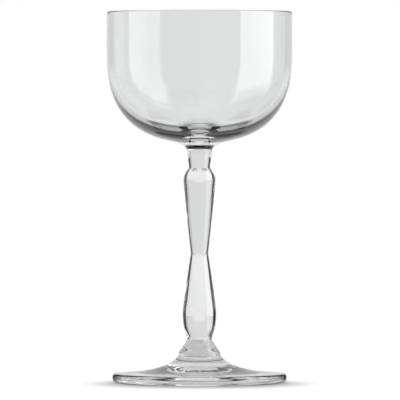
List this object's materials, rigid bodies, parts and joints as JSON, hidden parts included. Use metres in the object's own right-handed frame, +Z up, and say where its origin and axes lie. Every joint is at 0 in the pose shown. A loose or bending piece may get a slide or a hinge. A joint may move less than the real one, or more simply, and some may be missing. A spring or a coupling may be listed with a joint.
{
  "type": "nick and nora glass",
  "caption": "Clear stemmed cocktail glass with a round-bottomed bowl, a waisted baluster stem and a wide foot, made of three fused bodies of glass.",
  "frame": {"origin": "middle of the resting ring, on the surface that the glass stands on", "axes": "+Z up along the axis of the glass, from the foot to the rim; +X and +Y are any two square directions, because the glass is round"},
  "size_m": [0.076, 0.076, 0.152],
  "materials": {
    "bowl_glass": "thin clear blown glass, fire-polished",
    "stem_glass": "solid clear pressed glass, fire-polished",
    "foot_glass": "solid clear pressed glass with faint press waves"
  },
  "bodies": {
    "root": {"bowl": "bowl_glass", "stem": "stem_glass", "foot": "foot_glass"}
  },
  "joints": []
}
